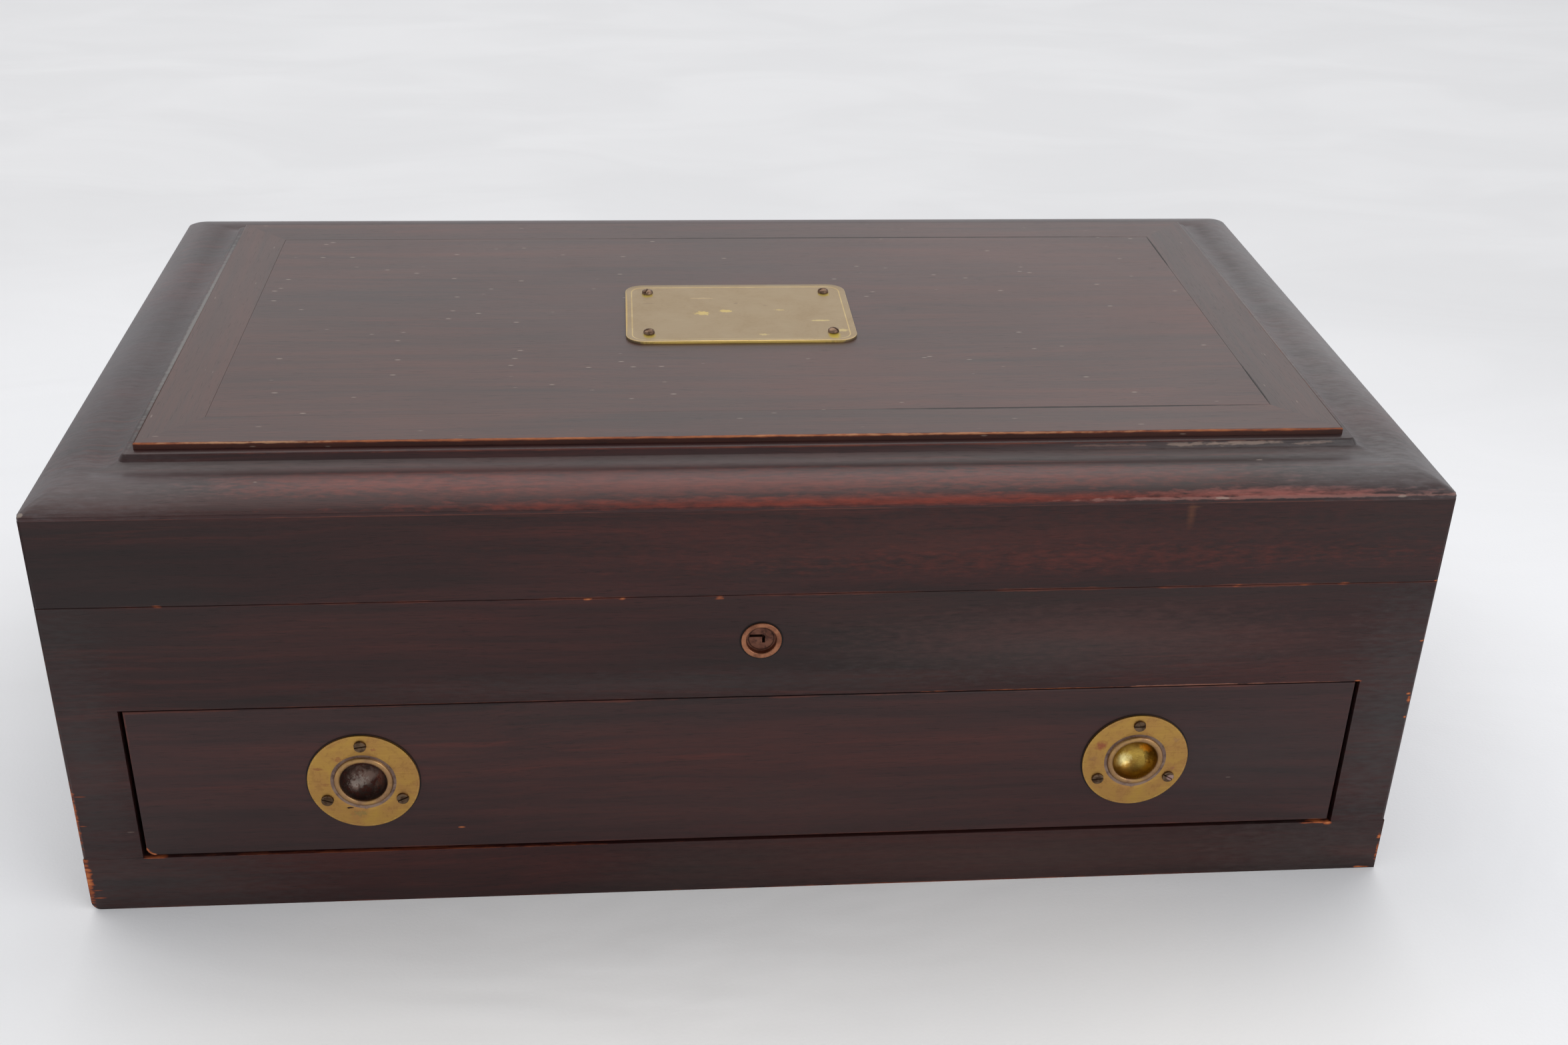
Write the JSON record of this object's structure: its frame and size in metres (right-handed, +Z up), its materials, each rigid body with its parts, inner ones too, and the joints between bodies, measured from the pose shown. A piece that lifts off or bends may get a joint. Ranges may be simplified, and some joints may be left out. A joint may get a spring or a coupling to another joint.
{
  "type": "silverware chest",
  "caption": "Hinged wooden box for flatware with a moulded lid, slotted racks, a lock with link loops and a lined drawer with round recessed finger pulls.",
  "frame": {"origin": "centre of the box that bounds the chest, on the surface it stands on", "axes": "+X to the right as seen from the front, -Y towards the front with the drawer, +Z up"},
  "size_m": [0.4572, 0.272, 0.1671],
  "materials": {
    "mahogany": "old polished mahogany, dark red-brown, worn orange at the edges",
    "carcase_wood": "unpolished secondary wood",
    "rack_wood": "stained wood, matt",
    "felt": "short napped cloth",
    "aged_brass": "aged, scratched brass",
    "brown_brass": "brown patina",
    "dark_steel": "darkened steel"
  },
  "bodies": {
    "case": {"base_rail": "mahogany", "front_board": "mahogany", "back_board": "mahogany", "left_side": "mahogany", "right_side": "mahogany", "bottom_board": "carcase_wood", "compartment_floor": "carcase_wood", "left_runner": "carcase_wood", "right_runner": "carcase_wood", "left_guide": "carcase_wood", "right_guide": "carcase_wood", "drawer_stops": "carcase_wood", "corner_blocks": "carcase_wood", "front_rack": "rack_wood", "rear_rack": "rack_wood", "tray_lining": "felt", "lock_case": "dark_steel", "lock_cover": "dark_steel", "lock_top_plate": "aged_brass", "lock_screws": "aged_brass", "keyhole_ring": "brown_brass", "left_lower_leaf": "aged_brass", "right_lower_leaf": "aged_brass", "hinge_pins": "aged_brass", "lower_hinge_screws": "aged_brass"},
    "lid": {"lid_board": "mahogany", "lid_front": "mahogany", "lid_back": "mahogany", "lid_left": "mahogany", "lid_right": "mahogany", "top_border_front": "mahogany", "top_border_back": "mahogany", "top_border_left": "mahogany", "top_border_right": "mahogany", "top_field": "mahogany", "name_plate": "aged_brass", "plate_screws": "aged_brass", "strike_plate": "aged_brass", "strike_screws": "aged_brass", "left_upper_leaf": "aged_brass", "right_upper_leaf": "aged_brass", "upper_hinge_screws": "aged_brass", "lid_lining": "felt"},
    "drawer": {"drawer_front": "mahogany", "drawer_left": "carcase_wood", "drawer_right": "carcase_wood", "drawer_back": "carcase_wood", "drawer_bottom": "carcase_wood", "left_divider": "rack_wood", "right_divider": "rack_wood", "drawer_lining": "felt", "left_pull_flange": "aged_brass", "right_pull_flange": "aged_brass", "left_pull_cup": "brown_brass", "right_pull_cup": "aged_brass", "pull_screws": "dark_steel"},
    "plug": {"key_plug": "brown_brass"},
    "bolt": {"lock_bolt": "dark_steel"}
  },
  "joints": [
    {"name": "lid_hinge", "type": "hinge", "parent": "case", "child": "lid", "pos_m": [0, 0.1334, 0.1216], "axis": [-1, 0, 0], "range_deg": [0, 95]},
    {"name": "drawer_slide", "type": "slide", "parent": "case", "child": "drawer", "axis": [0, -1, 0], "range_m": [0, 0.19]},
    {"name": "plug_turn", "type": "hinge", "parent": "case", "child": "plug", "pos_m": [0.0014, -0.1293, 0.1043], "axis": [0, 1, 0], "range_deg": [0, 90]},
    {"name": "bolt_slide", "type": "slide", "parent": "case", "child": "bolt", "axis": [1, 0, 0], "range_m": [0, 0.00509]}
  ],
  "couplings": [
    {"joint": "plug_turn", "follows": "bolt_slide", "rad_per_m": 308.54}
  ]
}
